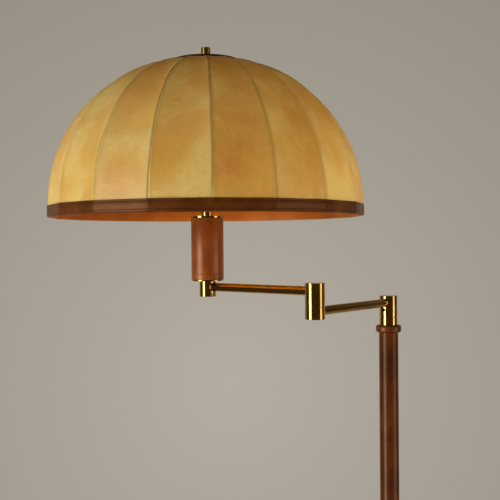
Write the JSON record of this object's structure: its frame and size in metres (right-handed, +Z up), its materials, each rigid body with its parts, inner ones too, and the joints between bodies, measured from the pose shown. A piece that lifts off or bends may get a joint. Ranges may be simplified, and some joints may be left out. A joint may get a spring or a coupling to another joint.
{
  "type": "swing-arm floor lamp",
  "caption": "Swing-arm floor lamp with a weighted round base, leather-covered column, folding brass arms, leather-covered cylinder and a dome shade of parchment gores.",
  "frame": {"origin": "where the column axis meets the floor", "axes": "+Z up along the column; -Y towards the side that the picture shows; +X to its right, away from the light"},
  "size_m": [0.6445, 0.4577, 1.5],
  "materials": {
    "felt": "matt felt",
    "iron": "rough painted",
    "base_leather": "waxed hide",
    "bushing": "moulded",
    "steel": "turned",
    "column_leather": "waxed hide",
    "collar_leather": "waxed hide",
    "grip_leather": "waxed hide",
    "brass": "polished",
    "grub_steel": "black oxide",
    "harp_brass": "satin",
    "liner_fibre": "pressed fibre",
    "phenolic": "moulded",
    "bulb_aluminium": "rolled thread",
    "bulb_glass": "frosted inside",
    "rib_paint": "satin paint",
    "parchment": "oiled rawhide",
    "band_leather": "waxed hide, folded edge",
    "cap_leather": "waxed hide"
  },
  "bodies": {
    "stand": {"felt_pad": "felt", "base_weight": "iron", "base_leather": "base_leather", "cord_bushing": "bushing", "base_stud": "steel", "base_washer": "steel", "base_nut": "steel", "column_tube": "steel", "column_leather": "column_leather", "foot_plug": "steel", "top_plug": "steel", "foot_collar": "collar_leather", "top_collar": "collar_leather", "head_ferrule": "brass", "head_post": "steel", "head_washer": "brass", "head_lock_washer": "steel", "head_nut": "steel"},
    "lower_arm": {"head_knuckle": "brass", "head_grub": "grub_steel", "head_cap": "brass", "lower_arm": "brass", "elbow_lower_knuckle": "brass", "elbow_bottom_cap": "brass", "elbow_post": "steel", "elbow_washer": "brass", "elbow_lock_washer": "steel", "elbow_nut": "steel"},
    "light": {"elbow_upper_knuckle": "brass", "elbow_top_cap": "brass", "upper_arm": "brass", "end_knuckle": "brass", "end_cap": "brass", "stem_nipple": "steel", "grip_base_disc": "brass", "grip_core": "brass", "grip_leather": "grip_leather", "grip_top_disc": "brass", "stem_tube": "brass", "harp_saddle": "harp_brass", "harp_sleeves": "harp_brass", "harp": "harp_brass", "harp_stud": "harp_brass", "socket_cap": "brass", "socket_shell": "brass", "socket_liner": "liner_fibre", "socket_base": "phenolic", "socket_screw": "brass", "bulb_cap": "bulb_aluminium", "bulb_glass": "bulb_glass", "shade_top_plate": "rib_paint", "shade_ribs": "rib_paint", "shade_bottom_ring": "rib_paint", "shade_panels": "parchment", "shade_band": "band_leather", "shade_cap": "cap_leather", "finial": "brass"}
  },
  "joints": [
    {"name": "head_swing", "type": "hinge", "parent": "stand", "child": "lower_arm", "pos_m": [0, 0, 1.1153], "axis": [0, 0, 1], "range_deg": [-170, 170]},
    {"name": "elbow_swing", "type": "hinge", "parent": "lower_arm", "child": "light", "pos_m": [-0.11888, -0.15834, 1.143], "axis": [0, 0, 1], "range_deg": [-85, 265]}
  ]
}
